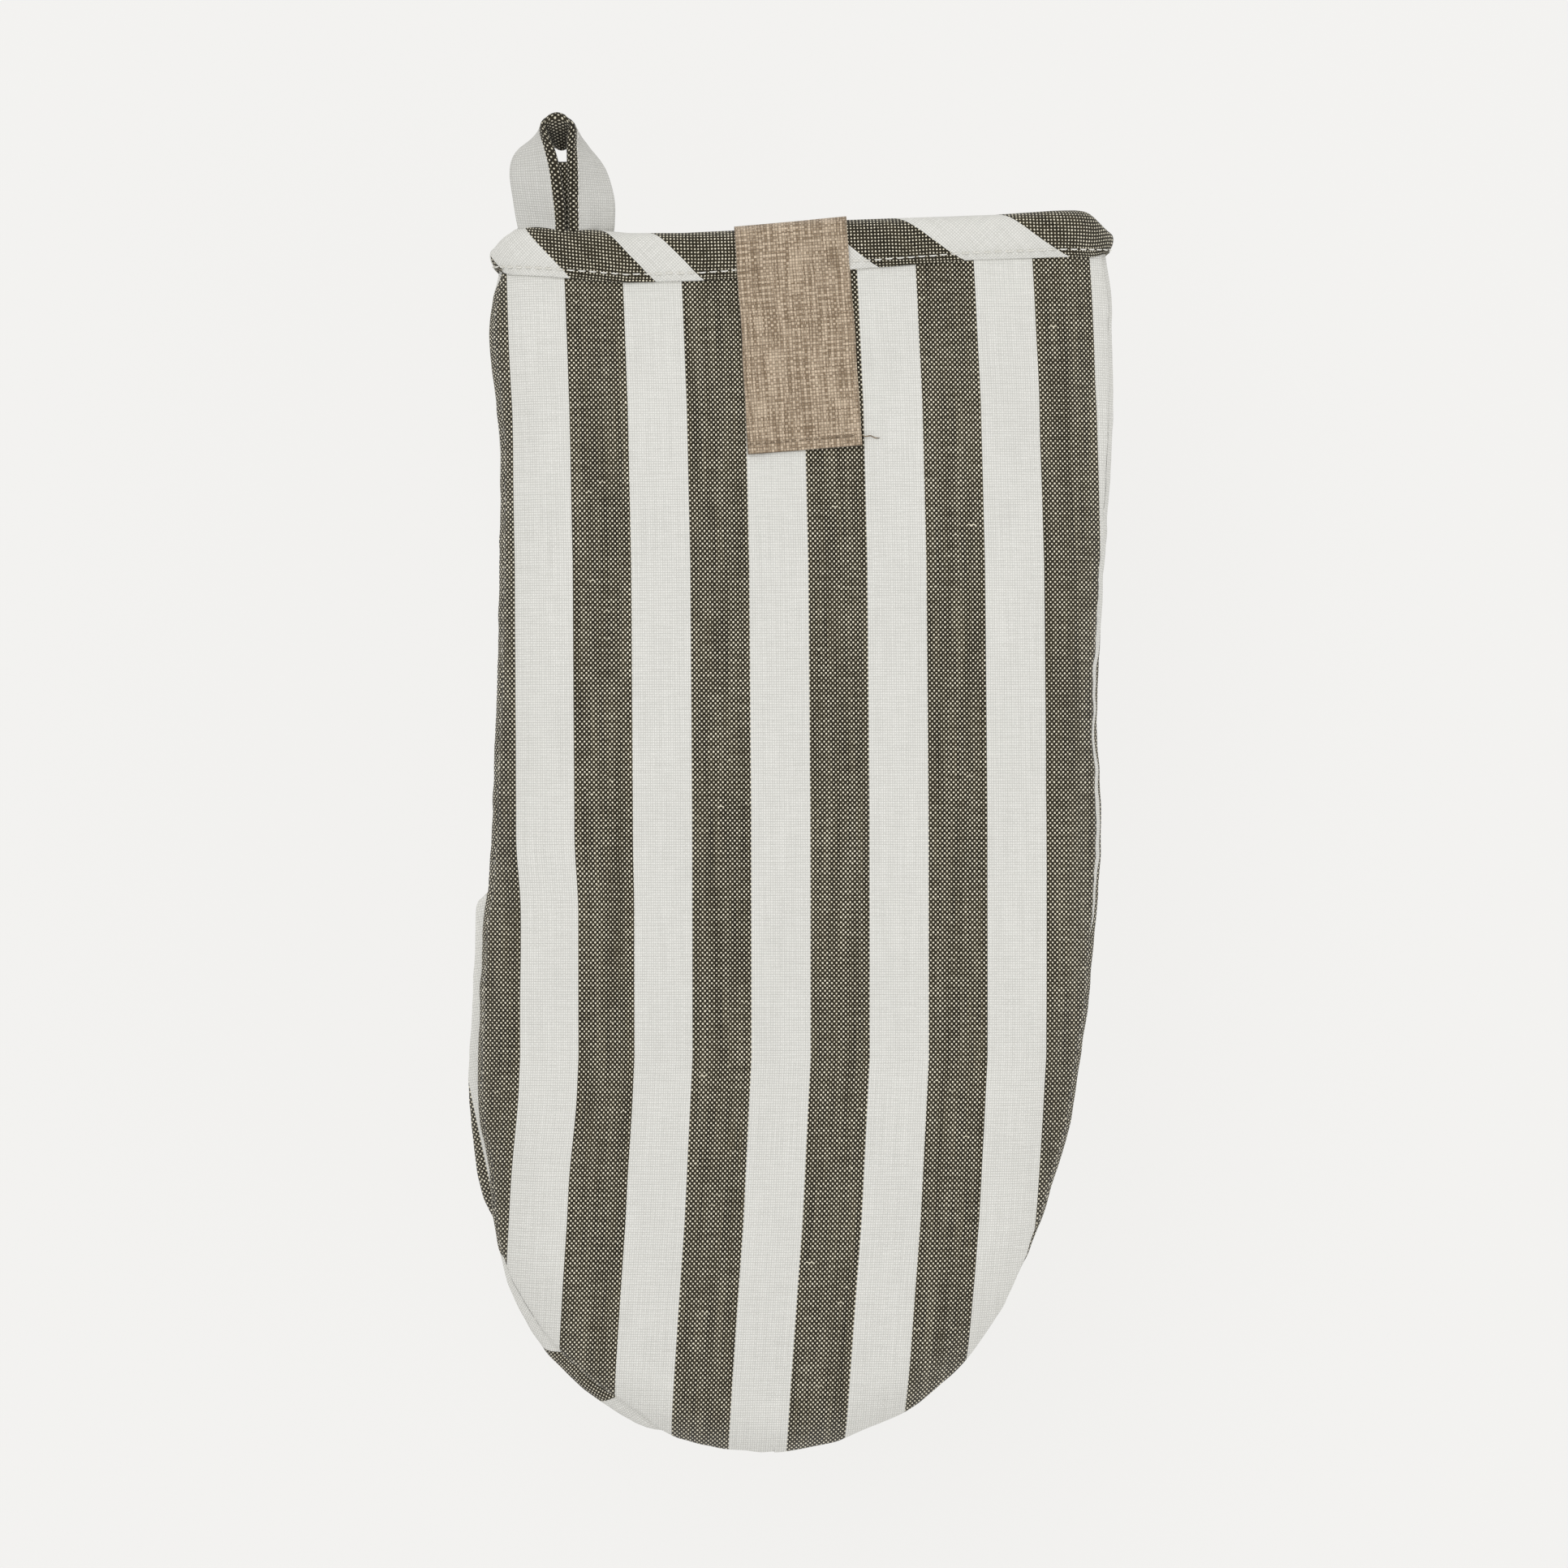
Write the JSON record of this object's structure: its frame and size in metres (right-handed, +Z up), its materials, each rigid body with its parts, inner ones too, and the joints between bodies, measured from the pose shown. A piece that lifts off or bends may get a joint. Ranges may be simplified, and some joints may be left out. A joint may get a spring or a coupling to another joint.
{
  "type": "oven mitt",
  "caption": "Padded oven mitt in striped woven cotton with a palm-side thumb, bias-bound cuff, folded tape label and a sewn hanging loop, lying palm down.",
  "frame": {"origin": "on the surface that the mitt lies on, below the centre of its bounding box", "axes": "+Y from the fingertips to the cuff and its hanging loop, +Z up out of the back of the hand, +X to the side away from the thumb"},
  "size_m": [0.1708, 0.3552, 0.038],
  "materials": {
    "striped_cloth": "plain-woven cotton, dark and white stripes, matt",
    "striped_cloth_palm": "the same cloth on the palm side, matt",
    "striped_cloth_thumb": "the same cloth on the thumb, matt",
    "wadding": "lofted cotton wadding, matt",
    "lining_cloth": "plain cotton lining, matt",
    "binding_cloth": "the striped cloth cut on the bias, matt",
    "label_linen": "natural linen tape, matt",
    "sewing_thread": "cotton sewing thread, matt",
    "loop_tape": "woven cotton tape, matt"
  },
  "bodies": {
    "mitt": {"back_outer": "striped_cloth", "palm_wrist_outer": "striped_cloth_palm", "palm_finger_outer": "striped_cloth_palm", "back_wadding": "wadding", "palm_wrist_wadding": "wadding", "palm_finger_wadding": "wadding", "back_lining": "lining_cloth", "palm_wrist_lining": "lining_cloth", "palm_finger_lining": "lining_cloth", "cuff_binding": "binding_cloth", "binding_stitching": "sewing_thread", "label": "label_linen", "label_stitching": "sewing_thread", "side_seam_thread": "sewing_thread", "lining_seam_thread": "sewing_thread", "palm_seam_thread": "sewing_thread"},
    "thumb": {"thumb_upper_outer": "striped_cloth_thumb", "thumb_lower_outer": "striped_cloth_thumb", "thumb_upper_wadding": "wadding", "thumb_lower_wadding": "wadding", "thumb_upper_lining": "lining_cloth", "thumb_lower_lining": "lining_cloth", "thumb_seam_thread": "sewing_thread"},
    "loop": {"hanging_loop": "loop_tape"}
  },
  "joints": [
    {"name": "thumb_open", "type": "hinge", "parent": "mitt", "child": "thumb", "pos_m": [-0.054, -0.028, 0], "axis": [1, 0, 0], "range_deg": [0, 70]},
    {"name": "loop_swing", "type": "hinge", "parent": "mitt", "child": "loop", "pos_m": [-0.06, 0.149, 0.0236], "axis": [1, 0, 0], "range_deg": [-35, 60]}
  ]
}
